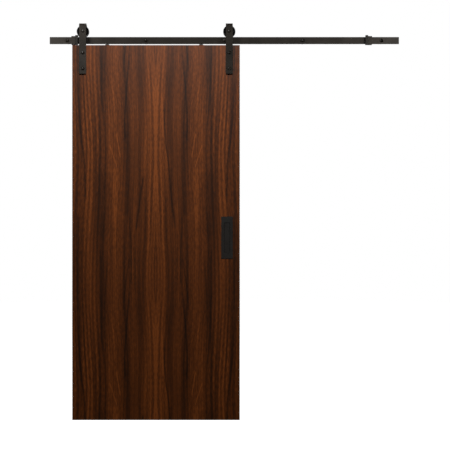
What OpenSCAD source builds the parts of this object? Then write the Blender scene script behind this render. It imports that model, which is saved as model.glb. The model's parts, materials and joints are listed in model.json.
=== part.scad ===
// Sliding barn door on a flat-bar track.
// X runs along the rail, Y points at the wall, Z is up. The wall's face is y = 0,
// and the origin is on it, on the axis of the rail's middle bolt.
// The door is drawn at its left stop, and slides towards +X.

/* [Rail] */
// Length of the flat bar
rail_len = 2000; // [1700:10:3000]
// Height of the flat bar
rail_h = 40; // [32:1:60]
// Thickness of the flat bar
rail_t = 6; // [5:0.5:10]
// Radius of the bar's long edges
rail_edge_r = 1; // [0.5:0.1:2]
// Distance from each end of the bar to its end bolt
rail_end_margin = 100; // [60:5:180]

/* [Wall fixing] */
// Length of the spacers, which is the rail's stand-off from the wall
spacer_len = 36; // [32:1:60]
// Outer diameter of the spacers
spacer_d = 28; // [20:0.5:30]
// Diameter of the lag bolts
lag_d = 8; // [6:1:12]
// Length of the lag bolts under the head
lag_len = 100; // [80:5:160]
// Diameter of the lag bolts' domed heads
lag_head_d = 20; // [14:0.5:24]
// Height of the lag bolts' domed heads
lag_head_h = 6; // [4:0.5:8]

/* [Stops] */
// Length of each stop body along the rail
stop_len = 22; // [20:1:40]
// Length of each bumper along the rail
bumper_len = 15; // [8:1:30]
// Wall of the stop in front of the rail and behind it
stop_wall = 8; // [6:0.5:10]
// Wall of the stop above and below the rail
stop_lip = 4; // [3:0.5:5]
// Height of the bumper above the rail's top edge
bumper_rise = 10; // [7:0.5:20]
// Distance from the left end bolt to the left stop
stop_gap_left = 25; // [20:1:200]
// Distance from the right end bolt to the right stop
stop_gap_right = 55; // [20:1:200]
// Diameter of the set screws
set_screw_d = 6; // [4:1:8]
// Distance of the set screws from the middle of the rail's height
set_screw_offset = 10; // [8:0.5:12]

/* [Door] */
// Width of the door
door_w = 958; // [700:1:1300]
// Height of the door
door_h = 2143; // [1900:1:2600]
// Thickness of the door
door_t = 35; // [30:1:45]
// Radius of the door's upright edges
door_edge_r = 2; // [1:0.5:5]
// Gap between the rail's lower edge and the door's top
door_gap = 8.5; // [8:0.5:20]
// Width of the guide groove in the door's lower edge
groove_w = 8; // [6:0.5:12]
// Depth of the guide groove
groove_depth = 20; // [12:1:30]

/* [Hangers] */
// Width of the straps
strap_w = 40; // [30:1:60]
// Thickness of the straps
strap_t = 6; // [4:0.5:8]
// Distance from each side of the door to the middle of its strap
strap_inset = 60; // [40:1:200]
// Length of the strap that lies on the door
strap_on_door = 164; // [140:1:300]
// Gap between the wheel's top and the inside of the strap's bend
strap_over_wheel = 6; // [4:0.5:30]
// Length of the strap's back leg below the axle
strap_back_drop = 22; // [15:0.5:26]
// Radius of the strap's corners
strap_corner_r = 5; // [2:0.5:12]
// Diameter of the bolts that hold the strap to the door
strap_bolt_d = 8; // [6:1:10]
// Length of those bolts under the head
strap_bolt_len = 30; // [25:1:35]
// Diameter of their domed heads
strap_head_d = 20; // [14:0.5:24]
// Height of their domed heads
strap_head_h = 5.5; // [4:0.5:8]
// Distance from the door's top to the upper bolt
strap_bolt_drop = 43.5; // [30:0.5:80]
// Distance from the upper bolt to the lower bolt
strap_bolt_pitch = 91; // [60:1:100]

/* [Wheels] */
// Outer diameter of the wheels
wheel_d = 70; // [60:1:100]
// Width of the wheels
wheel_w = 20; // [18:0.5:30]
// Depth of the groove that runs on the rail
wheel_groove = 4.3; // [3:0.1:6]
// Gap between the wheel and each leg of its strap
wheel_side_gap = 4; // [2:0.5:8]
// Diameter of the axle bolt
axle_d = 10; // [8:1:12]
// Outer diameter of the ball bearing
bearing_d = 26; // [24:1:30]
// Width of the ball bearing
bearing_w = 8; // [7:0.5:9]

/* [Anti-jump discs] */
// Diameter of the discs
disc_d = 24; // [16:1:30]
// Gap between the disc and the rail's lower edge
disc_gap = 2; // [1:0.5:4]
// Distance from the door's left side to the left disc
disc_inset_left = 199; // [110:1:300]
// Distance from the door's right side to the right disc
disc_inset_right = 221; // [110:1:300]

/* [Flush pull] */
// Width of the plate
pull_w = 66; // [50:1:80]
// Height of the plate
pull_h = 240; // [180:5:320]
// Thickness of the plate
pull_t = 2; // [1.5:0.1:3]
// Width of the recess
pull_recess_w = 34; // [24:1:46]
// Height of the recess
pull_recess_h = 175; // [120:5:200]
// Depth of the recess below the door's face
pull_recess_depth = 14; // [8:1:20]
// Distance from the door's right side to the middle of the pull
pull_inset = 73; // [50:1:150]
// Height of the pull's middle above the door's lower edge
pull_height = 1043; // [900:1:1150]
// Distance from each end of the plate to its screw
pull_screw_margin = 16; // [10:0.5:18]

/* [Hidden] */
$fn = 64;

// Clearances, each a radial or one-sided gap
bolt_gap = 0.4;      // a bolt in a plain hole
thread_gap = 0.05;   // a thread in its hole
sleeve_gap = 0.2;    // a sleeve nut in the door
slot_gap = 0.2;      // a stop's slot on the rail
bearing_gap = 0.03;  // a ball in its races, a ring on its axle
running_gap = 0.3;   // a wheel above the rail, a wheel beside a bumper
groove_side_gap = 0.5; // the wheel's groove beside the rail
mortise_gap = 0.5;   // the pull's cup in the door
cut = 1;             // how far a cut runs past the face that it opens

// Rail and wall
rail_back = -spacer_len;
rail_front = rail_back - rail_t;
rail_mid = rail_back - rail_t / 2;
rail_top = rail_h / 2;
bolt_count = 5;
bolt_pitch = (rail_len - 2 * rail_end_margin) / (bolt_count - 1);
function bolt_x(i) = -rail_len / 2 + rail_end_margin + i * bolt_pitch;
lag_relief_d = lag_d - 1.6; // core left bare where the thread runs out
lag_relief_before = 3;      // length of bare core inside the spacer
lag_relief_after = 2;       // length of bare core inside the wall
lag_tip = 6;                // length of the point
head_rim = 1;               // height of the upright rim under a dome
socket_depth = 3;           // depth of a hex socket

// Wheels and axles
wheel_r = wheel_d / 2;
groove_r = wheel_r - wheel_groove;
groove_flare = 1.5;         // how far each side of the groove opens outwards
rim_t = 8;                  // depth of the rim, seen from the side
rim_edge_r = 1.5;
web_w = bearing_w + 2;      // width of the wheel inside its rim
bearing_lip = 1;            // shoulder that the bearing seats on
axle_z = rail_top + running_gap + groove_r;
strap_gap = wheel_w + 2 * wheel_side_gap;
strap_bend_rise = wheel_r + strap_over_wheel - strap_gap / 2; // the bend's centre above the axle
bushing_d = 14;
bushing_len = (strap_gap - bearing_w) / 2;
ball_count = 8;
ball_d = 4.76;
ball_pitch_r = (axle_d + bearing_d) / 4;
race_land = 1.6;            // half the gap between the two rings
shield_t = 0.5;
shield_inset = 0.4;         // how deep a shield sits below the ring's face
shield_gap = 0.5;           // between a shield and the inner ring
axle_head_d = 18;
axle_head_h = 3;
axle_washer_d = 21;
axle_washer_t = 2;
axle_nut_af = 16;
axle_nut_h = 8;
axle_tail = 1;              // thread that stands out of the nut

// Stops: a wheel meets the upper edge of its bumper
bumper_top = rail_top + bumper_rise;
half_chord = sqrt(pow(wheel_r, 2) - pow(axle_z - bumper_top, 2));
wheel_to_bumper = half_chord + running_gap;
stop_outer_left = bolt_x(0) + stop_gap_left;
stop_outer_right = bolt_x(bolt_count - 1) - stop_gap_right;
stop_half_h = rail_top + stop_lip;
stop_depth = rail_t + 2 * (slot_gap + stop_wall);
stop_edge_r = 1;
bumper_edge_r = 2;
bumper_inset = 0.6;         // the bumper is this much shallower than its body

// Door and hangers
wheel_left_x = stop_outer_left + stop_len + bumper_len + wheel_to_bumper;
wheel_right_x = wheel_left_x + door_w - 2 * strap_inset;
wheel_xs = [wheel_left_x, wheel_right_x];
door_left = wheel_left_x - strap_inset;
door_right = door_left + door_w;
door_top = -rail_top - door_gap;
door_bottom = door_top - door_h;
door_front = rail_mid - strap_gap / 2;
door_back = door_front + door_t;
door_mid = door_front + door_t / 2;
strap_bolt_zs = [door_top - strap_bolt_drop, door_top - strap_bolt_drop - strap_bolt_pitch];
strap_front = door_front - strap_t;
strap_back = rail_mid + strap_gap / 2 + strap_t;
sleeve_d = strap_bolt_d + 2;
sleeve_len = door_t - 5;
sleeve_solid = 6;           // closed end of the sleeve, behind the thread
sleeve_flange_d = 20;
sleeve_flange_t = 2.5;
socket_share = 0.6;         // hex socket across flats, as a share of the thread

// Small screws
disc_h = door_gap - disc_gap;
disc_xs = [door_left + disc_inset_left, door_right - disc_inset_right];
disc_screw_d = 4.5;
disc_screw_head_d = 9;
disc_screw_len = 35;
pull_x = door_right - pull_inset;
pull_z = door_bottom + pull_height;
pull_wall = 2;
pull_corner_r = 3;
pull_recess_r = 6;
pull_screw_zs = [pull_z + pull_h / 2 - pull_screw_margin, pull_z - pull_h / 2 + pull_screw_margin];
pull_screw_d = 3.5;
pull_screw_head_d = 7.5;
pull_screw_len = 20;
screw_tip = 4;
cross_w = 0.9;              // width of a cross recess
cross_share = 0.6;          // its length, as a share of the head

metal = "#3a3733";
black = "#1e1d1c";
zinc = "#8f9296";
walnut = "#6b3f28";

// ---- shapes that repeat ----

// A rectangle with round corners, centred
module rounded_rect(w, h, r) {
    square([w - 2 * r, h], center = true);
    square([w, h - 2 * r], center = true);
    for (x = [-1, 1], y = [-1, 1])
        translate([x * (w / 2 - r), y * (h / 2 - r)]) circle(r);
}

// A Y-Z outline, carried along X
module along_x(len) {
    rotate([90, 0, 90]) linear_extrude(len) children();
}

// Turns +Z to the front, which is -Y
module to_front() {
    rotate([90, 0, 0]) children();
}

// Turns +Z to the wall, which is +Y
module to_wall() {
    rotate([-90, 0, 0]) children();
}

module ring(outer_d, inner_d, h) {
    difference() {
        cylinder(d = outer_d, h = h);
        translate([0, 0, -cut]) cylinder(d = inner_d, h = h + 2 * cut);
    }
}

module hex_prism(across_flats, h) {
    cylinder(d = across_flats / cos(30), h = h, $fn = 6);
}

// A plain domed head on z = 0
module dome_head(d, h) {
    cap_h = h - head_rim;
    cap_r = (pow(d / 2, 2) + pow(cap_h, 2)) / (2 * cap_h);
    cylinder(d = d, h = head_rim);
    translate([0, 0, head_rim]) rotate_extrude() intersection() {
        translate([0, cap_h - cap_r]) circle(cap_r);
        square([d / 2, cap_h]);
    }
}

// A countersunk wood screw: the head's top is at z = 0, the point is below
module wood_screw(d, len, head_d) {
    head_h = (head_d - d) / 2;
    difference() {
        union() {
            translate([0, 0, -head_h]) cylinder(d1 = d, d2 = head_d, h = head_h);
            translate([0, 0, screw_tip - len]) cylinder(d = d, h = len - screw_tip - head_h);
            translate([0, 0, -len]) cylinder(d1 = d / 5, d2 = d, h = screw_tip);
        }
        for (a = [45, 135])
            rotate(a) translate([-head_d * cross_share / 2, -cross_w / 2, -head_h * 0.7])
                cube([head_d * cross_share, cross_w, head_h]);
    }
}

// The seat that such a screw leaves in a plate of thickness t, with the top at z = 0
module screw_seat(d, head_d, t) {
    head_h = (head_d - d) / 2;
    translate([0, 0, -head_h])
        cylinder(d1 = d + 2 * thread_gap, d2 = head_d + 2 * thread_gap, h = head_h);
    translate([0, 0, -t - cut]) cylinder(d = d + 2 * thread_gap, h = t + cut);
    cylinder(d = head_d + 2 * thread_gap, h = cut);
}

// ---- track ----

module rail() {
    color(metal) difference() {
        translate([-rail_len / 2, rail_mid, 0])
            along_x(rail_len) rounded_rect(rail_t, rail_h, rail_edge_r);
        for (i = [0:bolt_count - 1])
            translate([bolt_x(i), rail_front - cut, 0]) to_wall()
                cylinder(d = lag_d + 2 * bolt_gap, h = rail_t + 2 * cut);
    }
}

module rail_spacer(i) {
    color(metal) translate([bolt_x(i), rail_back, 0]) to_wall()
        ring(spacer_d, lag_d + 2 * bolt_gap, spacer_len);
}

module lag_bolt() {
    plain_len = -rail_front - lag_relief_before;
    relief_len = lag_relief_before + lag_relief_after;
    thread_len = lag_len - plain_len - relief_len - lag_tip;
    to_front() dome_head(lag_head_d, lag_head_h);
    to_wall() {
        cylinder(d = lag_d, h = plain_len);
        translate([0, 0, plain_len]) cylinder(d = lag_relief_d, h = relief_len);
        translate([0, 0, plain_len + relief_len]) cylinder(d = lag_d, h = thread_len);
        translate([0, 0, lag_len - lag_tip]) cylinder(d1 = lag_d, d2 = lag_d / 8, h = lag_tip);
    }
}

module rail_lag_bolts() {
    color(metal) for (i = [0:bolt_count - 1])
        translate([bolt_x(i), rail_front, 0]) lag_bolt();
}

// The block that clamps on the rail; its outer end is at outer_x, and side is +1
// where the bumper is on its right
module stop_body(outer_x, side) {
    color(metal) difference() {
        translate([outer_x - (side < 0 ? stop_len : 0), rail_mid, 0])
            along_x(stop_len) difference() {
                rounded_rect(stop_depth, 2 * stop_half_h, stop_edge_r);
                square([rail_t + 2 * slot_gap, rail_h + 2 * slot_gap], center = true);
            }
        for (z = [-1, 1])
            translate([outer_x + side * stop_len / 2, rail_back, z * set_screw_offset])
                to_wall() cylinder(d = set_screw_d + 2 * thread_gap, h = stop_wall + 2 * cut);
    }
}

module stop_bumper(outer_x, side) {
    depth = stop_depth - 2 * bumper_inset;
    height = bumper_top + stop_half_h;
    color(black) translate([outer_x + side * stop_len - (side < 0 ? bumper_len : 0), rail_mid, 0])
        along_x(bumper_len) difference() {
            translate([0, (bumper_top - stop_half_h) / 2])
                rounded_rect(depth, height, bumper_edge_r);
            square([rail_t + 2 * slot_gap, rail_h + 2 * slot_gap], center = true);
        }
}

module stop_set_screws() {
    len = slot_gap + stop_wall;
    color(metal) for (stop = [[stop_outer_left, 1], [stop_outer_right, -1]], z = [-1, 1])
        translate([stop[0] + stop[1] * stop_len / 2, rail_back, z * set_screw_offset])
            to_wall() difference() {
                cylinder(d = set_screw_d, h = len);
                translate([0, 0, len - socket_depth])
                    hex_prism(set_screw_d / 2, socket_depth + cut);
            }
}

// ---- door ----

module door_slab() {
    cup_w = pull_recess_w + 2 * (pull_wall + mortise_gap);
    cup_h = pull_recess_h + 2 * (pull_wall + mortise_gap);
    cup_depth = pull_recess_depth + pull_wall + mortise_gap;
    color(walnut) difference() {
        translate([door_left + door_w / 2, door_mid, door_bottom])
            linear_extrude(door_h) rounded_rect(door_w, door_t, door_edge_r);
        // groove for a floor guide
        translate([door_left - cut, door_mid - groove_w / 2, door_bottom - cut])
            cube([door_w + 2 * cut, groove_w, groove_depth + cut]);
        // holes for the hangers' sleeve nuts
        for (x = wheel_xs, z = strap_bolt_zs)
            translate([x, door_front - cut, z]) to_wall()
                cylinder(d = sleeve_d + 2 * sleeve_gap, h = door_t + 2 * cut);
        // holes for the anti-jump discs' screws
        for (x = disc_xs)
            translate([x, door_mid, door_top + disc_h - disc_screw_len])
                cylinder(d = disc_screw_d + 2 * thread_gap, h = disc_screw_len);
        // mortise and screw holes for the flush pull
        translate([pull_x, door_front - cut, pull_z]) to_wall()
            linear_extrude(cup_depth + cut) rounded_rect(cup_w, cup_h, pull_recess_r + pull_wall);
        for (z = pull_screw_zs)
            translate([pull_x, door_front - cut, z]) to_wall()
                cylinder(d = pull_screw_d + 2 * thread_gap, h = pull_screw_len - pull_t + cut);
    }
}

// Side view of a strap: a front leg, a half ring over the wheel and a short back leg.
// The outline's x is Y and its y is Z.
module strap_side() {
    bend_z = axle_z + strap_bend_rise;
    outer_r = strap_gap / 2 + strap_t;
    front_bottom = door_top - strap_on_door;
    back_bottom = axle_z - strap_back_drop;
    translate([strap_front, front_bottom]) square([strap_t, bend_z - front_bottom]);
    translate([strap_back - strap_t, back_bottom]) square([strap_t, bend_z - back_bottom]);
    translate([rail_mid, bend_z]) difference() {
        circle(outer_r);
        circle(strap_gap / 2);
        translate([-outer_r - cut, -outer_r - cut]) square([2 * (outer_r + cut), outer_r + cut]);
    }
}

// What is cut from the two lower corners of a leg, seen from the front, at its lower end
module corner_cuts() {
    for (side = [-1, 1])
        translate([side * (strap_w / 2 - strap_corner_r), strap_corner_r]) difference() {
            translate([side > 0 ? 0 : -strap_corner_r - cut, -strap_corner_r - cut])
                square(strap_corner_r + cut);
            circle(strap_corner_r);
        }
}

module hanger_strap(x) {
    front_bottom = door_top - strap_on_door;
    back_bottom = axle_z - strap_back_drop;
    color(metal) translate([x, 0, 0]) difference() {
        translate([-strap_w / 2, 0, 0]) along_x(strap_w) strap_side();
        // round corners of the two legs
        translate([0, door_front + cut, front_bottom]) to_front()
            linear_extrude(strap_t + 2 * cut) corner_cuts();
        translate([0, strap_back + cut, back_bottom]) to_front()
            linear_extrude(strap_t + 2 * cut) corner_cuts();
        // axle hole through both legs
        translate([0, strap_front - cut, axle_z]) to_wall()
            cylinder(d = axle_d + 2 * bolt_gap, h = strap_back - strap_front + 2 * cut);
        for (z = strap_bolt_zs)
            translate([0, strap_front - cut, z]) to_wall()
                cylinder(d = strap_bolt_d + 2 * bolt_gap, h = strap_t + 2 * cut);
    }
}

module strap_bolts() {
    color(metal) for (x = wheel_xs, z = strap_bolt_zs)
        translate([x, strap_front, z]) {
            to_front() dome_head(strap_head_d, strap_head_h);
            to_wall() cylinder(d = strap_bolt_d, h = strap_bolt_len);
        }
}

module strap_sleeve_nuts() {
    color(metal) for (x = wheel_xs, z = strap_bolt_zs)
        translate([x, door_back, z]) difference() {
            union() {
                to_wall() cylinder(d = sleeve_flange_d, h = sleeve_flange_t);
                to_front() cylinder(d = sleeve_d, h = sleeve_len);
            }
            translate([0, -sleeve_solid, 0]) to_front()
                cylinder(d = strap_bolt_d + 2 * thread_gap, h = sleeve_len);
            translate([0, sleeve_flange_t - socket_depth, 0]) to_wall()
                hex_prism(strap_bolt_d * socket_share, socket_depth + cut);
        }
}

module axle_bolt(x) {
    len = strap_back - strap_front + axle_washer_t + axle_nut_h + axle_tail;
    color(metal) translate([x, strap_front, axle_z]) {
        to_front() dome_head(axle_head_d, axle_head_h);
        to_wall() cylinder(d = axle_d, h = len);
    }
}

module axle_washers() {
    color(zinc) for (x = wheel_xs)
        translate([x, strap_back, axle_z]) to_wall()
            ring(axle_washer_d, axle_d + 2 * bolt_gap, axle_washer_t);
}

module axle_nuts() {
    color(zinc) for (x = wheel_xs)
        translate([x, strap_back + axle_washer_t, axle_z]) to_wall() difference() {
            hex_prism(axle_nut_af, axle_nut_h);
            translate([0, 0, -cut])
                cylinder(d = axle_d + 2 * thread_gap, h = axle_nut_h + 2 * cut);
        }
}

module bushing(x, front_y) {
    color(zinc) translate([x, front_y, axle_z]) to_wall()
        ring(bushing_d, axle_d + 2 * thread_gap, bushing_len);
}

module anti_jump_disc(x) {
    color(black) translate([x, door_mid, door_top]) difference() {
        cylinder(d = disc_d, h = disc_h);
        translate([0, 0, disc_h]) screw_seat(disc_screw_d, disc_screw_head_d, disc_h);
    }
}

module anti_jump_screws() {
    color(zinc) for (x = disc_xs)
        translate([x, door_mid, door_top + disc_h])
            wood_screw(disc_screw_d, disc_screw_len, disc_screw_head_d);
}

module flush_pull() {
    cup_depth = pull_recess_depth + pull_wall;
    color(black) difference() {
        union() {
            translate([pull_x, door_front, pull_z]) to_front()
                linear_extrude(pull_t) rounded_rect(pull_w, pull_h, pull_corner_r);
            translate([pull_x, door_front, pull_z]) to_wall() linear_extrude(cup_depth)
                rounded_rect(pull_recess_w + 2 * pull_wall, pull_recess_h + 2 * pull_wall,
                    pull_recess_r + pull_wall);
        }
        translate([pull_x, door_front + pull_recess_depth, pull_z]) to_front()
            linear_extrude(pull_recess_depth + pull_t + cut)
                rounded_rect(pull_recess_w, pull_recess_h, pull_recess_r);
        for (z = pull_screw_zs)
            translate([pull_x, door_front - pull_t, z]) to_front()
                screw_seat(pull_screw_d, pull_screw_head_d, pull_t);
    }
}

module flush_pull_screws() {
    color(metal) for (z = pull_screw_zs)
        translate([pull_x, door_front - pull_t, z]) to_front()
            wood_screw(pull_screw_d, pull_screw_len, pull_screw_head_d);
}

// ---- wheels, each on its bearing ----

// Half section of a wheel: x is the radius, y runs along the axle
module wheel_section() {
    tip_w = rail_t + 2 * (groove_side_gap + groove_flare);
    root_w = rail_t + 2 * groove_side_gap;
    difference() {
        union() {
            translate([wheel_r - rim_t / 2, 0]) rounded_rect(rim_t, wheel_w, rim_edge_r);
            translate([bearing_d / 2, -web_w / 2])
                square([wheel_r - rim_t / 2 - bearing_d / 2, web_w]);
            translate([bearing_d / 2 - bearing_lip, -web_w / 2])
                square([2 * bearing_lip, (web_w - bearing_w) / 2]);
        }
        polygon([
            [groove_r, -root_w / 2], [wheel_r, -tip_w / 2], [wheel_r + cut, -tip_w / 2],
            [wheel_r + cut, tip_w / 2], [wheel_r, tip_w / 2], [groove_r, root_w / 2]
        ]);
    }
}

module wheel(x) {
    color(black) translate([x, rail_mid, axle_z]) to_wall()
        rotate_extrude() wheel_section();
}

// A ring of the bearing between two radii, with the track that the balls run in
module bearing_ring(x, inner_r, outer_r) {
    color(zinc) translate([x, rail_mid, axle_z]) to_wall() rotate_extrude() difference() {
        translate([inner_r, -bearing_w / 2]) square([outer_r - inner_r, bearing_w]);
        translate([ball_pitch_r, 0]) circle(ball_d / 2 + bearing_gap);
    }
}

module bearing_outer(x) {
    bearing_ring(x, ball_pitch_r + race_land, bearing_d / 2);
}

module bearing_inner(x) {
    bearing_ring(x, axle_d / 2 + bearing_gap, ball_pitch_r - race_land);
}

module bearing_balls(x) {
    color(zinc) translate([x, rail_mid, axle_z]) to_wall() for (i = [0:ball_count - 1])
        rotate(i * 360 / ball_count) translate([ball_pitch_r, 0, 0]) sphere(d = ball_d);
}

module bearing_shields(x) {
    inner_d = 2 * (ball_pitch_r - race_land + shield_gap);
    color(zinc) for (y = [-1, 1])
        translate([x, rail_mid + y * (bearing_w / 2 - shield_inset - shield_t / 2), axle_z])
            to_wall() translate([0, 0, -shield_t / 2])
                ring(2 * (ball_pitch_r + race_land), inner_d, shield_t);
}

rail();
rail_spacer(0);  // rail_spacer_1
rail_spacer(1);  // rail_spacer_2
rail_spacer(2);  // rail_spacer_3
rail_spacer(3);  // rail_spacer_4
rail_spacer(4);  // rail_spacer_5
rail_lag_bolts();
stop_body(stop_outer_left, 1);  // stop_body_left
stop_body(stop_outer_right, -1);  // stop_body_right
stop_bumper(stop_outer_left, 1);  // stop_bumper_left
stop_bumper(stop_outer_right, -1);  // stop_bumper_right
stop_set_screws();
door_slab();
hanger_strap(wheel_left_x);  // hanger_strap_left
hanger_strap(wheel_right_x);  // hanger_strap_right
strap_bolts();
strap_sleeve_nuts();
axle_bolt(wheel_left_x);  // axle_bolt_left
axle_bolt(wheel_right_x);  // axle_bolt_right
axle_washers();
axle_nuts();
bushing(wheel_left_x, door_front);  // bushing_front_left
bushing(wheel_left_x, rail_mid + bearing_w / 2);  // bushing_back_left
bushing(wheel_right_x, door_front);  // bushing_front_right
bushing(wheel_right_x, rail_mid + bearing_w / 2);  // bushing_back_right
bearing_inner(wheel_left_x);  // bearing_inner_left
bearing_inner(wheel_right_x);  // bearing_inner_right
anti_jump_disc(disc_xs[0]);  // anti_jump_disc_left
anti_jump_disc(disc_xs[1]);  // anti_jump_disc_right
anti_jump_screws();
flush_pull();
flush_pull_screws();
wheel(wheel_left_x);  // wheel_left
wheel(wheel_right_x);  // wheel_right
bearing_outer(wheel_left_x);  // bearing_outer_left
bearing_outer(wheel_right_x);  // bearing_outer_right
bearing_balls(wheel_left_x);  // bearing_balls_left
bearing_balls(wheel_right_x);  // bearing_balls_right
bearing_shields(wheel_left_x);  // bearing_shields_left
bearing_shields(wheel_right_x);  // bearing_shields_right
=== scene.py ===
import json
import math

import bmesh
import bpy
import numpy as np
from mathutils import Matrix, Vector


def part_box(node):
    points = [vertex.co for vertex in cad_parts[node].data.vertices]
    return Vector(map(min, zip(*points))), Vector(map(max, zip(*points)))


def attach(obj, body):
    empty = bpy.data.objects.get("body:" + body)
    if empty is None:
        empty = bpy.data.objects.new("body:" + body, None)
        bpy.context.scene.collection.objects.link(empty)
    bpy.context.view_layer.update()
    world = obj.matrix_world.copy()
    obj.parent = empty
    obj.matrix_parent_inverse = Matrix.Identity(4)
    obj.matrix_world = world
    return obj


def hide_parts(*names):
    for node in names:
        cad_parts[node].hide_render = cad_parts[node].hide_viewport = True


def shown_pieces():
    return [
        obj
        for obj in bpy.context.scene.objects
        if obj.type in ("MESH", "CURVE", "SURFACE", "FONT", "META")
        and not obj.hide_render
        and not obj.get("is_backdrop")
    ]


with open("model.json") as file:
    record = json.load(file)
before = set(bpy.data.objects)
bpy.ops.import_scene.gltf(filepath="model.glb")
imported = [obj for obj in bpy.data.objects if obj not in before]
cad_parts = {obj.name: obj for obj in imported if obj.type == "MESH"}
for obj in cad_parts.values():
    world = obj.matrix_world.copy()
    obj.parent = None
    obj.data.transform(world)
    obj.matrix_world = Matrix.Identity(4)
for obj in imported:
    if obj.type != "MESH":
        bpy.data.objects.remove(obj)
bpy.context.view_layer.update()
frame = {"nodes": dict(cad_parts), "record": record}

nodes = frame["nodes"]
SIDES = ("left", "right")
SPACERS = [f"rail_spacer_{number}" for number in range(1, 6)]
TURN = 2 * math.pi

# ---- places, taken from the frame; every length in this file is in metres unless it says otherwise ----

X, Y, Z = range(3)


def middle(name, axis):
    """The middle of a CAD node's box along one axis."""
    low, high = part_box(name)
    return (low[axis] + high[axis]) / 2


door_low, door_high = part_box("door_slab")
DOOR_TOP = door_high.z
DOOR_BOTTOM = door_low.z
DOOR_FRONT = door_low.y
RAIL_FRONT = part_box("rail")[0].y
JOINT_X = middle("door_slab", X)  # where the two leaves of veneer meet
AXLE_Z = middle("wheel_left", Z)
WHEEL_X = {side: middle(f"wheel_{side}", X) for side in SIDES}

# ---- camera ----

EYE_X, EYE_Z = 0.0038, -1.0566  # where the camera stands, left to right and in height
EYE_DISTANCE = 5.5  # from the rail's front
SENSOR_WIDTH, FOCAL_LENGTH = 36, 76.83  # millimetres

camera = bpy.data.objects.new("camera", bpy.data.cameras.new("camera"))
camera.data.sensor_width = SENSOR_WIDTH
camera.data.lens = FOCAL_LENGTH
camera.location = (EYE_X, RAIL_FRONT - EYE_DISTANCE, EYE_Z)
camera.rotation_euler = (math.radians(90), 0, 0)
bpy.context.scene.collection.objects.link(camera)
bpy.context.scene.camera = camera
bpy.context.scene.view_settings.view_transform = "Standard"


# ---- colours and node trees ----


def rgb(code):
    """An sRGB hex colour as the linear one that Blender works in."""
    channels = [int(code[i : i + 2], 16) / 255 for i in (1, 3, 5)]
    return (*[c / 12.92 if c <= 0.04045 else ((c + 0.055) / 1.055) ** 2.4 for c in channels], 1)


def add(tree, kind, *values, out=0, stops=(), points=(), named=None, **settings):
    """Adds a node and returns one of its outputs, if it has any.

    A kind in capitals is that operation of a Math node. values go to the inputs in order and named ones by
    name, as links or as numbers. stops are the places and colours of a ramp, and points those of a curve.
    """
    if kind.isupper():
        kind, settings["operation"] = "ShaderNodeMath", kind
    made = tree.nodes.new(kind)
    for name, value in settings.items():
        setattr(made, name, value)
    for number, (place, colour) in enumerate(stops):
        elements = made.color_ramp.elements
        element = elements[number] if number < 2 else elements.new(place)
        element.position, element.color = place, colour
    for number, point in enumerate(points):
        curve = made.mapping.curves[0].points
        if number < 2:
            curve[number].location = point
        else:
            curve.new(*point)
    if points:
        made.mapping.update()
    for key, value in [*enumerate(values), *(named or {}).items()]:
        if isinstance(value, bpy.types.NodeSocket):
            tree.links.new(value, made.inputs[key])
        elif value is not None:
            made.inputs[key].default_value = value
    return made.outputs[out] if len(made.outputs) else None


def material(name, build, **sockets):
    """A material whose build(tree, shader) draws its patterns; sockets are set on the shader itself."""
    made = bpy.data.materials.new(name)
    made.use_nodes = True
    shader = next(n for n in made.node_tree.nodes if n.type == "BSDF_PRINCIPLED")
    for socket, value in sockets.items():
        shader.inputs[socket.replace("_", " ").title().replace("Ior", "IOR")].default_value = value
    build(made.node_tree, shader)
    return made


# ---- walnut ----

# Crown-cut walnut veneer in two leaves, opened like a book on the door's middle line, stained red-brown under
# a satin lacquer. Broad stripes and dark veins run the whole height, with streaks and open pores along them.
# A strength is a power of e: 0 leaves the veneer as it is, 0.7 doubles its lightness and -0.7 halves it.
LEAF_REPEAT = 1.361  # length of a leaf; the next one down comes from the same flitch and looks the same
UPPER_DROP = 0.30  # drop at which the stripes have their upper strength; half a leaf on it is the lower
WALNUT_COLOURS = (
    (0.0, rgb("#140903")),
    (0.146, rgb("#472206")),
    (0.417, rgb("#763b10")),
    (1.0, rgb("#af5c22")),
)
FULL_LIGHT = 2.4  # how many times lighter than plain veneer the last of those colours is
# Stripes: distance from the joint, half-width, and strength in the upper part and in the lower
STRIPES = (
    (0.000, 0.024, 0.60, 0.55),
    (0.040, 0.014, 0.32, 0.28),
    (0.100, 0.015, 0.00, -0.15),
    (0.145, 0.012, -0.10, -0.20),
    (0.175, 0.035, -0.30, -0.08),
    (0.250, 0.035, 0.28, 0.36),
    (0.305, 0.018, -0.55, -0.35),
    (0.330, 0.015, -0.15, -0.42),
    (0.375, 0.020, 0.32, 0.34),
    (0.425, 0.025, -0.20, -0.22),
    (0.450, 0.010, -0.20, -0.38),
)
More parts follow.
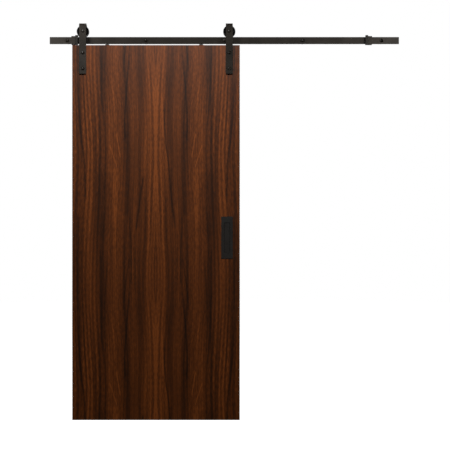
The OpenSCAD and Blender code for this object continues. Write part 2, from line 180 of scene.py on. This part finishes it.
# Veins: the leaf (-1 left, 1 right, 0 both), the half-width, the strength, and points along the vein as (drop
# below the door's top, distance from the joint). A drop past the leaf's end goes on above.
VEINS = (
    (0, 0.0048, -1.04,
     ((0.05, 0.156), (0.15, 0.161), (0.25, 0.168), (0.35, 0.175), (0.46, 0.177), (0.57, 0.170))),
    (0, 0.014, -0.47, ((0.44, 0.171), (0.70, 0.167), (1.00, 0.160))),
    (0, 0.0056, -0.62,
     ((0.01, 0.312), (0.25, 0.308), (0.37, 0.302), (0.46, 0.292), (0.60, 0.288), (0.90, 0.296))),
    (0, 0.004, -0.78, ((1.14, 0.316), (1.40, 0.316), (1.75, 0.311))),
    (0, 0.0028, -0.52, ((1.22, 0.280), (1.36, 0.288), (1.54, 0.294), (1.80, 0.284))),
    (0, 0.0056, -0.96,
     ((0.17, 0.452), (0.35, 0.441), (0.49, 0.431), (0.66, 0.411), (0.80, 0.404), (0.92, 0.401))),
    (0, 0.0048, -0.73, ((0.95, 0.444), (1.20, 0.446), (1.56, 0.450))),
    (0, 0.0028, -0.86, ((0.95, 0.146), (1.05, 0.149), (1.13, 0.144), (1.38, 0.144))),
    (0, 0.0028, -0.55, ((1.06, 0.125), (1.40, 0.126))),
    (0, 0.0032, -0.66, ((1.20, 0.154), (1.29, 0.164), (1.35, 0.173), (1.42, 0.180), (1.52, 0.187))),
    (1, 0.0048, -1.08,
     ((0.30, 0.049), (0.56, 0.055), (0.63, 0.064), (0.73, 0.075), (0.87, 0.086), (1.05, 0.112))),
    (1, 0.014, -0.41, ((0.14, 0.062), (0.64, 0.074))),
    (1, 0.0048, 0.52, ((0.28, 0.036), (0.54, 0.042))),
    (-1, 0.0048, -1.01, ((0.74, 0.068), (0.84, 0.084), (0.94, 0.098), (1.07, 0.117))),
    (0, 0.0028, 0.96, ((0.50, 0.226), (0.58, 0.213), (0.65, 0.202))),
    (0, 0.0028, 0.73, ((0.57, 0.263), (0.64, 0.240), (0.70, 0.221))),
    (0, 0.03, 0.25, ((0.68, 0.240), (1.03, 0.240))),
    (0, 0.022, -0.28, ((0.70, 0.306), (1.12, 0.310))),
)
# Noises: (width, how many times longer than wide, detail, seed)
STRAY = (0.10, 2.0, 2.0, 1.0)
FLOW = (0.18, 2.5, 1.0, 3.0)
CALM = (0.09, 4.0, 1.0, 9.0)
PORES = (0.0005, 14.0, 0.0, 7.0)
# Streaks in the grain, as a noise and its strength. The finest is the fleck of the pores, which is really a
# few tenths of a millimetre wide and is drawn 3 mm wide so that it shows.
STREAKS = (
    ((0.025, 14.0, 1.0, 2.5), 0.6),
    ((0.009, 60.0, 1.0, 0.9), 0.9),
    ((0.0055, 80.0, 0.0, 0.55), 1.9),
    ((0.0030, 4.0, 0.0, 0.3), 1.2),
)
# Growth lines, as the noise whose zeros they follow and how dark they are
GROWTH_LINES = (((0.018, 60.0, 0.0, 1.26), 0.22), ((0.045, 30.0, 0.0, 3.15), 0.34))
LINE_EDGE = 0.05  # a growth line ends where its noise is this far from zero
LINE_DEPTH = 0.8  # the share of its darkness that lies below plain veneer; the rest lightens what is between
STRAY_BY, FLOW_BY = 0.016, 0.11  # how far the noises push the stripes sideways, and the grain
LEAF_OFFSET = 0.0015  # the two leaves are cut one after the other, so their grain lies this far apart
CALM_RANGE = (-0.2, 0.2, 0.55, 1.15)  # that noise where the grain is calm and busy, and its strength there
CURL_PITCH = 0.008  # from crest to crest of the curl
CURL_LEAN = 400.0  # how its ripples lean: the turn in radians for each metre across
CURL_WIDTH, CURL_STRENGTH = 0.018, 0.12
PORE_RANGE, PORE_DARK = (0.14, 0.26), 0.4  # the noise from which a pore starts and is full, and its darkness
LIPPING_ACROSS = 0.30  # the place in the veneer's figure from which the lippings' own is taken
END_FACE = 0.7  # a face whose normal has more Z than this is an end of the slab
GRAIN_RELIEF = 0.15  # how high the light grain stands, against the depth of a pore
LACQUER_ROUGHNESS, PORE_ROUGHER = 0.45, 0.2  # satin, and what an open pore adds


def leaf_coordinates(tree):
    """Distance from the joint, drop below the door's top and the leaf's side, for each place on the slab.

    The two ends of the slab are lippings, whose grain runs across: there the drop runs along X.
    """
    coords = add(tree, "ShaderNodeTexCoord", out="Object")
    x, y, z = (add(tree, "ShaderNodeSeparateXYZ", coords, out=axis) for axis in (X, Y, Z))
    facing = add(tree, "ShaderNodeSeparateXYZ", add(tree, "ShaderNodeNewGeometry", out="Normal"), out=Z)
    end = add(tree, "GREATER_THAN", add(tree, "ABSOLUTE", facing), END_FACE)
    from_joint = add(tree, "SUBTRACT", x, JOINT_X)
    depth = add(tree, "SUBTRACT", y, DOOR_FRONT)
    face_across = add(tree, "ADD", add(tree, "ABSOLUTE", from_joint), depth)
    lipping_across = add(tree, "ADD", depth, LIPPING_ACROSS)
    across = add(tree, "ShaderNodeMix", end, named={2: face_across, 3: lipping_across})
    drop = add(tree, "ShaderNodeMix", end, named={2: add(tree, "SUBTRACT", DOOR_TOP, z), 3: from_joint})
    return across, add(tree, "FLOORED_MODULO", drop, LEAF_REPEAT), add(tree, "SIGN", from_joint), z


def streaks(tree, place, drop, width, stretch, detail, seed):
    """Noise as wide as width and drawn out along the grain, from about -0.5 to 0.5.

    The drop goes round a circle, so that the leaf's lower end meets the next one's upper end.
    """
    turn = add(tree, "MULTIPLY", drop, TURN / LEAF_REPEAT)
    radius = LEAF_REPEAT / (TURN * stretch)
    around = [add(tree, "MULTIPLY", add(tree, wave, turn), radius) for wave in ("COSINE", "SINE")]
    vector = add(tree, "ShaderNodeCombineXYZ", place, *around)
    noise = add(tree, "ShaderNodeTexNoise", vector, seed, 0.5 / width, detail, noise_dimensions="4D")
    return add(tree, "SUBTRACT", noise, 0.5)


def bell(tree, offset, half_width):
    """1 on the line and falling off to nothing on both sides, as exp(-(offset / half_width) ** 2)."""
    ratio = add(tree, "DIVIDE", offset, half_width)
    return add(tree, "EXPONENT", add(tree, "MULTIPLY", add(tree, "MULTIPLY", ratio, ratio), -1.0))


def broad_stripes(tree, place, drop):
    """The sum of the stripes, whose strengths go from upper to lower and back once a leaf, as a cosine."""
    turn = add(tree, "MULTIPLY_ADD", drop, TURN / LEAF_REPEAT, -UPPER_DROP * TURN / LEAF_REPEAT)
    level = add(tree, "MULTIPLY_ADD", add(tree, "COSINE", turn), -0.5, 0.5)
    total = 0.0
    for centre, half_width, upper, lower in STRIPES:
        shape = bell(tree, add(tree, "SUBTRACT", place, centre), half_width)
        strength = add(tree, "MULTIPLY_ADD", level, lower - upper, upper)
        total = add(tree, "MULTIPLY_ADD", shape, strength, total)
    return total


def grain(tree, across, drop, one_leaf):
    """The streaks, calm in some places and busy in others, and the growth lines where their noise is zero."""
    light = 0.0
    for noise, strength in STREAKS:
        light = add(tree, "MULTIPLY_ADD", streaks(tree, one_leaf, drop, *noise), strength, light)
    calm = add(tree, "ShaderNodeMapRange", streaks(tree, across, drop, *CALM), *CALM_RANGE)
    light = add(tree, "MULTIPLY", light, calm)
    for noise, dark in GROWTH_LINES:
        from_zero = add(tree, "ABSOLUTE", streaks(tree, one_leaf, drop, *noise))
        light = add(tree, "MULTIPLY_ADD", add(tree, "MINIMUM", from_zero, LINE_EDGE), dark / LINE_EDGE, light)
        light = add(tree, "SUBTRACT", light, dark * LINE_DEPTH)
    return light


def vein(tree, place, drop, leaf, side, half_width, strength, line):
    """A vein along a curve through the points of line, fading out over the last tenth at both ends.

    The curve holds twice the distance from the joint, so that it fills the curve's own scale of 0 to 1.
    """
    start, length = line[0][0], line[-1][0] - line[0][0]
    from_start = add(tree, "FLOORED_MODULO", add(tree, "SUBTRACT", drop, start), LEAF_REPEAT)
    run = add(tree, "DIVIDE", from_start, length)
    points = [((at - start) / length, 2 * across) for at, across in (line[0], line[-1], *line[1:-1])]
    centre = add(tree, "MULTIPLY", add(tree, "ShaderNodeFloatCurve", 1.0, run, points=points), 0.5)
    shape = bell(tree, add(tree, "SUBTRACT", place, centre), half_width)
    from_middle = add(tree, "ABSOLUTE", add(tree, "MULTIPLY_ADD", run, 2.0, -1.0))
    fade = add(tree, "MULTIPLY_ADD", from_middle, -5.0, 5.0, use_clamp=True)
    if side:
        fade = add(tree, "MULTIPLY", fade, add(tree, "MULTIPLY", leaf, side, use_clamp=True))
    return add(tree, "MULTIPLY", add(tree, "MULTIPLY", shape, fade), strength)


def curl(tree, place, z):
    """A sine ripple across the grain, in the light stripe by the joint."""
    across = add(tree, "MULTIPLY", place, CURL_LEAN)
    ripple = add(tree, "SINE", add(tree, "MULTIPLY_ADD", z, TURN / CURL_PITCH, across))
    return add(tree, "MULTIPLY", ripple, bell(tree, place, CURL_WIDTH))


def build_walnut(tree, shader):
    across, drop, leaf, z = leaf_coordinates(tree)
    place = add(tree, "MULTIPLY_ADD", streaks(tree, across, drop, *STRAY), STRAY_BY, across)
    flow = add(tree, "MULTIPLY_ADD", streaks(tree, across, drop, *FLOW), FLOW_BY, place)
    one_leaf = add(tree, "MULTIPLY_ADD", leaf, LEAF_OFFSET, flow)
    light = grain(tree, across, drop, one_leaf)
    for side, half_width, strength, line in VEINS:
        light = add(tree, "ADD", light, vein(tree, place, drop, leaf, side, half_width, strength, line))
    light = add(tree, "MULTIPLY_ADD", curl(tree, place, z), CURL_STRENGTH, light)
    tone = add(tree, "EXPONENT", add(tree, "ADD", light, broad_stripes(tree, place, drop)))

    # open pores: dark dashes 0.5 mm wide and some 7 mm long, sunk into the lacquer
    pore = add(tree, "ShaderNodeMapRange", streaks(tree, one_leaf, drop, *PORES), *PORE_RANGE)
    tone = add(tree, "MULTIPLY", tone, add(tree, "MULTIPLY_ADD", pore, -PORE_DARK, 1.0))
    colour = add(tree, "ShaderNodeValToRGB", add(tree, "DIVIDE", tone, FULL_LIGHT), stops=WALNUT_COLOURS)
    tree.links.new(colour, shader.inputs["Base Color"])
    height = add(tree, "MULTIPLY_ADD", pore, -1.0, add(tree, "MULTIPLY", light, GRAIN_RELIEF))
    bump = add(tree, "ShaderNodeBump", named={"Strength": 0.2, "Distance": 0.0003, "Height": height})
    tree.links.new(bump, shader.inputs["Normal"])
    roughness = add(tree, "MULTIPLY_ADD", pore, PORE_ROUGHER, LACQUER_ROUGHNESS)
    tree.links.new(roughness, shader.inputs["Roughness"])


# ---- metal, plastic and rubber ----

RING_PITCH = 0.0008  # between a nylon wheel's tool marks


def powder_coat(dark, light, peel, rough=0.5):
    """Builds a powder coat: orange peel of that size in metres, and clouds some 40 mm across in its gloss."""

    def build(tree, shader):
        place = add(tree, "ShaderNodeTexCoord", out="Object")
        bumps = add(tree, "ShaderNodeTexNoise", place, None, 0.5 / peel, 2.0)
        cloud = add(tree, "ShaderNodeTexNoise", place, None, 12.0, 3.0)
        tint = add(tree, "ShaderNodeValToRGB", cloud, stops=[(0.35, rgb(dark)), (0.65, rgb(light))])
        tree.links.new(tint, shader.inputs["Base Color"])
        bump = add(tree, "ShaderNodeBump", named={"Strength": 0.3, "Distance": 0.0001, "Height": bumps})
        tree.links.new(bump, shader.inputs["Normal"])
        gloss = add(tree, "ShaderNodeMapRange", cloud, 0.3, 0.7, rough - 0.06, rough + 0.06)
        tree.links.new(gloss, shader.inputs["Roughness"])

    return build


def bare_metal(dark, light, grain_size):
    """Builds plated or ground metal: clouds of that size in metres in its colour and gloss."""

    def build(tree, shader):
        place = add(tree, "ShaderNodeTexCoord", out="Object")
        cloud = add(tree, "ShaderNodeTexNoise", place, None, 0.5 / grain_size, 3.0)
        tint = add(tree, "ShaderNodeValToRGB", cloud, stops=[(0.35, rgb(dark)), (0.65, rgb(light))])
        tree.links.new(tint, shader.inputs["Base Color"])
        gloss = add(tree, "ShaderNodeMapRange", cloud, 0.3, 0.7, 0.24, 0.40)
        tree.links.new(gloss, shader.inputs["Roughness"])

    return build


def turned_nylon(centre_x):
    """Builds turned nylon: tool marks in rings round the axle, drawn 0.8 mm apart so that they show."""

    def build(tree, shader):
        place = add(tree, "ShaderNodeTexCoord", out="Object")
        x, z = (add(tree, "ShaderNodeSeparateXYZ", place, out=axis) for axis in (X, Z))
        from_axle = add(tree, "SUBTRACT", x, centre_x), 0.0, add(tree, "SUBTRACT", z, AXLE_Z)
        flat = add(tree, "ShaderNodeCombineXYZ", *from_axle)
        radius = add(tree, "ShaderNodeVectorMath", flat, out="Value", operation="LENGTH")
        rings = add(tree, "SINE", add(tree, "MULTIPLY", radius, TURN / RING_PITCH))
        cloud = add(tree, "ShaderNodeTexNoise", place, None, 90.0, 3.0)
        tint = add(tree, "ShaderNodeValToRGB", cloud, stops=[(0.3, rgb("#0c0c0c")), (0.7, rgb("#151414"))])
        tree.links.new(tint, shader.inputs["Base Color"])
        bump = add(tree, "ShaderNodeBump", named={"Strength": 0.2, "Distance": 0.0001, "Height": rings})
        tree.links.new(bump, shader.inputs["Normal"])

    return build


def wheel_finish(side):
    rings = turned_nylon(WHEEL_X[side])
    return material(f"nylon, turned, {side}", rings, roughness=0.5, specular_ior_level=0.3)


FINISHES = {
    # American walnut veneer, sliced, bookmatched, stained and sprayed with satin lacquer: warm brown with
    # dark veins, mirrored at the joint, under a soft broad sheen in which the pores stay a little duller
    "walnut": material("walnut veneer, stained and lacquered", build_walnut, specular_ior_level=0.67),
    # flat steel bar, bent and powder coated in a brownish black: even and satin, with a fine orange peel
    "powder_coated_steel": material("steel, powder coated", powder_coat("#3a342d", "#453e36", 0.0006)),
    # the bolts' heads are smoother under their coat, so each dome carries a small highlight
    "bolts": material("steel bolts, powder coated", powder_coat("#3a342d", "#453e36", 0.0006, 0.34)),
    # sheet steel, pressed and powder coated: darker and duller than the track
    "pull_steel": material("pressed steel, powder coated", powder_coat("#332a22", "#3b3128", 0.0005)),
    # EPDM rubber, moulded: matt, with the tiny pits of its mould
    "bumper_rubber": material("rubber, moulded", powder_coat("#34302a", "#3b3731", 0.0008)),
    # nylon, moulded: near black, with a slightly pitted skin
    "disc_nylon": material("nylon, moulded", powder_coat("#121212", "#1a1919", 0.0010)),
    # steel, zinc plated: bright, with cloudy patches in its colour and gloss
    "zinc_plated_steel": material("steel, zinc plated", bare_metal("#8c9095", "#b4b8bc", 0.0020), metallic=1),
    # chrome steel, ground: brighter and smoother than zinc
    "bearing_steel": material("bearing steel, ground", bare_metal("#a0a2a4", "#c2c4c6", 0.0010), metallic=1),
    # nylon, turned: near black, with fine rings from the tool that catch the light as arcs
    "wheel_left": wheel_finish("left"),
    "wheel_right": wheel_finish("right"),
}
SLOTS = {part["node"]: part["material_slot"] for part in frame["record"]["subparts"]}
BODIES = {name: body for body, names in frame["record"]["behaviour"]["bodies"].items() for name in names}


def paint(piece, name):
    """Gives a piece its CAD node's finish. A wheel has its own, bolts share one, the rest go by slot."""
    finish = FINISHES.get(name) or FINISHES["bolts" if "bolt" in name else SLOTS[name]]
    piece.data.materials.clear()
    piece.data.materials.append(finish)


for name in SLOTS:
    paint(nodes[name], name)


def stand_for(mesh, name):
    """Shows a new mesh in place of a CAD node: on the same body and with the same finish."""
    piece = bpy.data.objects.new(mesh.name, mesh)
    bpy.context.scene.collection.objects.link(piece)
    mesh.polygons.foreach_set("use_smooth", np.ones(len(mesh.polygons), bool))
    paint(piece, name)
    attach(piece, BODIES[name])
    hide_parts(name)
    return piece


# ---- pieces with softened edges ----

EDGE_SOFTNESS = {  # radius to which each piece's sharp edges are broken
    "rail": 0.0004,
    "door_slab": 0.0008,
    "flush_pull": 0.0005,
    "axle_nuts": 0.0004,
    "axle_washers": 0.0002,
    **{name: 0.0004 for name in SPACERS},
    **{f"hanger_strap_{side}": 0.0007 for side in SIDES},
    **{f"stop_body_{side}": 0.0005 for side in SIDES},
    **{f"stop_bumper_{side}": 0.0008 for side in SIDES},
    **{f"anti_jump_disc_{side}": 0.0006 for side in SIDES},
}
FLAT, SHARP = math.radians(0.5), math.radians(40)
WELD = 1e-6  # corners nearer than this are one


def softened(name, radius):
    """The CAD piece with its triangles merged into flat faces and its sharp edges rounded to that radius."""
    shape = bmesh.new()
    shape.from_mesh(nodes[name].data)
    bmesh.ops.remove_doubles(shape, verts=shape.verts, dist=WELD)
    bmesh.ops.dissolve_limit(shape, angle_limit=FLAT, verts=shape.verts, edges=shape.edges)
    mesh = bpy.data.meshes.new(f"{name}_softened")
    shape.to_mesh(mesh)
    shape.free()
    piece = stand_for(mesh, name)
    bevel = piece.modifiers.new("edges", "BEVEL")
    bevel.width, bevel.segments = radius, 2
    bevel.limit_method, bevel.angle_limit = "ANGLE", SHARP
    piece.modifiers.new("flat faces", "WEIGHTED_NORMAL").weight = 100


for name, radius in EDGE_SOFTNESS.items():
    softened(name, radius)

# ---- bolts ----


DOME_RINGS = 14
RINGS_A_PITCH = 12  # rings in one pitch of a thread
HEAD_EASE = 0.0002  # how much the head's edge is broken where it meets its seat
STEP = 1e-5  # length of a step that looks square


def turned(name, stations, radii, places, angles=48):
    """Bolts that point along +Y, one from each of places, in one mesh.

    The point at station y and angle a is (r cos a, y, r sin a), where r = radii(y, a). One more point on the
    axis closes each end.
    """
    grid_y, grid_a = np.meshgrid(stations, np.linspace(0, TURN, angles, endpoint=False), indexing="ij")
    r = radii(grid_y, grid_a)
    rings = np.stack([r * np.cos(grid_a), grid_y, r * np.sin(grid_a)], axis=-1).reshape(-1, 3)
    one = np.vstack([rings, [[0, stations[0], 0], [0, stations[-1], 0]]])

    corner = np.arange(len(rings)).reshape(len(stations), angles)
    beside = np.roll(corner, -1, axis=1)  # the next corner round the same ring
    quads = np.stack([corner[:-1], beside[:-1], beside[1:], corner[1:]], axis=-1).reshape(-1, 4)
    near = np.stack([np.full(angles, len(rings)), beside[0], corner[0]], axis=-1)
    far = np.stack([np.full(angles, len(rings) + 1), corner[-1], beside[-1]], axis=-1)
    faces = []
    for number in range(len(places)):
        for kind in (quads, near, far):
            faces += (kind + number * len(one)).tolist()
    vertices = np.vstack([one + np.array(place) for place in places])
    mesh = bpy.data.meshes.new(name)
    mesh.from_pydata(vertices.tolist(), [], faces)
    mesh.update()
    return mesh


def bolt(node, places, head, shank, thread, tip, pitch, depth):
    """A domed bolt. head is (radius, height, rim), shank its radius, thread its (start, end) and tip its end.

    The dome is an arc of a circle. The thread is a ridge that climbs one pitch a turn: at each place the
    radius drops from the crest by depth times how far the place is from the ridge, in half pitches.
    """
    head_r, head_h, rim = head
    start, end = thread
    cap = head_h - rim
    ball = (head_r**2 + cap**2) / (2 * cap)
    swing = np.linspace(0, 1, DOME_RINGS)[1:] * math.asin(head_r / ball)
    dome_r, dome_y = ball * np.sin(swing), -head_h + ball * (1 - np.cos(swing))
    plain = np.linspace(0.0005, start - STEP, 4)
    fine = np.arange(start, end + pitch / RINGS_A_PITCH, pitch / RINGS_A_PITCH)
    stations = np.array([*dome_y, -HEAD_EASE, 0.0, STEP, *plain, *fine, tip])
    tapered = [head_r, head_r - HEAD_EASE, shank]
    profile = [*dome_r, *tapered, *[shank] * (len(plain) + len(fine)), shank * 0.15]

    def radii(y, angle):
        turns = y / pitch - angle / TURN
        off_ridge = 2 * np.abs(turns - np.floor(turns) - 0.5)
        cut = np.where((y >= start) & (y <= fine[-1]), depth * off_ridge, 0)
        cut *= np.clip((y - start) / pitch, 0, 1)
        return np.interp(y, stations, profile) - cut

    stand_for(turned(f"{node}_threaded", stations, radii, places), node)


lag_low, lag_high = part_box("rail_lag_bolts")
lag_tip = lag_high.y - RAIL_FRONT
bolt(
    "rail_lag_bolts",
    [(middle(spacer, X), RAIL_FRONT, 0) for spacer in SPACERS],
    head=((lag_high.z - lag_low.z) / 2, 0.006, 0.001),
    shank=0.004,
    thread=(0.0445, lag_tip - 0.006),
    tip=lag_tip,
    pitch=0.0032,
    depth=0.0011,
)
for side in SIDES:
    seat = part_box(f"hanger_strap_{side}")[0].y
    axle_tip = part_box(f"axle_bolt_{side}")[1].y - seat
    bolt(
        f"axle_bolt_{side}",
        [(WHEEL_X[side], seat, AXLE_Z)],
        head=(0.009, 0.003, 0.001),
        shank=0.005,
        thread=(axle_tip - 0.0105, axle_tip - 0.0006),
        tip=axle_tip,
        pitch=0.0015,
        depth=0.0007,
    )

# ---- floor, world and lights ----


FLOOR_RADIUS, FLOOR_GAP = 9.0, 0.012  # the gap is that under the door
LIGHT_FROM_WORLD = 0.012  # white all round, against 1 for what the camera sees of it


def floor_disc(radius, height, corners=96):
    """A flat disc: points at equal angles on a circle."""
    angles = np.linspace(0, TURN, corners, endpoint=False)
    ring = np.stack([radius * np.cos(angles), radius * np.sin(angles), np.full(corners, height)], axis=1)
    mesh = bpy.data.meshes.new("floor")
    mesh.from_pydata(ring.tolist(), [], [list(range(corners))])
    disc = bpy.data.objects.new("floor", mesh)
    bpy.context.scene.collection.objects.link(disc)
    return disc


def build_white(tree, shader):
    shader.inputs["Base Color"].default_value = (0.9, 0.9, 0.9, 1)
    shader.inputs["Emission Color"].default_value = (1, 1, 1, 1)
    shader.inputs["Emission Strength"].default_value = 1.0


floor = floor_disc(FLOOR_RADIUS, DOOR_BOTTOM - FLOOR_GAP)
floor.data.materials.append(material("white floor", build_white))
# the floor is seen, but throws no light back at the door
floor.visible_diffuse = floor.visible_glossy = floor.visible_shadow = False
floor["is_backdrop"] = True

world = bpy.data.worlds.new("studio")
bpy.context.scene.world = world
world.use_nodes = True
world.node_tree.nodes.clear()
lit = add(world.node_tree, "ShaderNodeBackground", (1, 1, 1, 1), LIGHT_FROM_WORLD)
seen = add(world.node_tree, "ShaderNodeBackground", (1, 1, 1, 1), 1.0)
camera_ray = add(world.node_tree, "ShaderNodeLightPath", out="Is Camera Ray")
sky = add(world.node_tree, "ShaderNodeMixShader", camera_ray, lit, seen)
add(world.node_tree, "ShaderNodeOutputWorld", sky)


def softbox(name, place, aim, size, watts, receivers=None, gloss=True):
    """A rectangular soft light at place, turned to face aim.

    It lights only receivers, if they are given. Without gloss it shows in no reflection.
    """
    data = bpy.data.lights.new(name, "AREA")
    data.shape = "RECTANGLE"
    data.size, data.size_y = size
    data.energy = watts
    box = bpy.data.objects.new(name, data)
    box.location = place
    direction = Vector(aim) - Vector(place)
    box.rotation_euler = direction.to_track_quat("-Z", "Y").to_euler()
    box.visible_camera = False
    box.visible_glossy = gloss
    bpy.context.scene.collection.objects.link(box)
    if receivers:
        box.light_linking.receiver_collection = receivers


GROUPS = ("wood", "pull", "bolts", "hardware")  # what is lit together
wood, pull, bolts, hardware = (bpy.data.collections.new(group) for group in GROUPS)
LIT_WITH = {"door_slab": wood, "flush_pull": pull, "bolt": bolts}
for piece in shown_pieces():
    group = next((group for word, group in LIT_WITH.items() if word in piece.name), hardware)
    group.objects.link(piece)

# the walnut: mostly from high in front, so that the light falls off down the door
softbox("top softbox", (JOINT_X, -1.9, 2.0), (JOINT_X, DOOR_FRONT, -0.3), (0.9, 0.6), 72, wood)
low_aim = (JOINT_X, DOOR_FRONT, -2.1)
softbox("low softbox", (JOINT_X, -0.45, -2.9), low_aim, (0.9, 0.2), 0.4, wood, gloss=False)
fill_aim = (JOINT_X, DOOR_FRONT, -0.4)
softbox("wood fill", (JOINT_X, -2.4, 0.5), fill_aim, (1.2, 1.2), 1.2, wood, gloss=False)
# the rail, hangers and stops: from both ends of the rail, and a little from the front
softbox("left softbox", (-1.9, -0.85, 0.45), (-0.4, DOOR_FRONT, 0), (0.5, 0.8), 16, hardware)
softbox("right softbox", (1.9, -0.85, 0.45), (0.4, DOOR_FRONT, 0), (0.5, 0.8), 18, hardware)
softbox("front softbox", (-0.2, -3.0, 0.8), (-0.2, DOOR_FRONT, 0), (2.0, 1.0), 4.5, hardware)
# the pull, whose recess needs a broad light from straight in front, and the domes of the bolts
softbox("pull softbox", (0.0, -3.2, -0.6), (0.0, DOOR_FRONT, -1.1), (2.4, 2.4), 14, pull)
softbox("bolt softbox", (-0.9, -1.8, 1.2), (-0.4, DOOR_FRONT, -0.1), (0.7, 0.4), 20, bolts)
# everything: the side edges and the back
softbox("left edge softbox", (-3.4, 0.4, -0.9), (-0.8, 0, -0.9), (0.4, 2.0), 22)
softbox("right edge softbox", (3.0, 0.4, -0.9), (0.1, 0, -0.9), (0.4, 2.0), 22)
softbox("back softbox", (-0.4, 3.2, 0.6), (-0.4, 0, -0.9), (3.0, 2.0), 60)
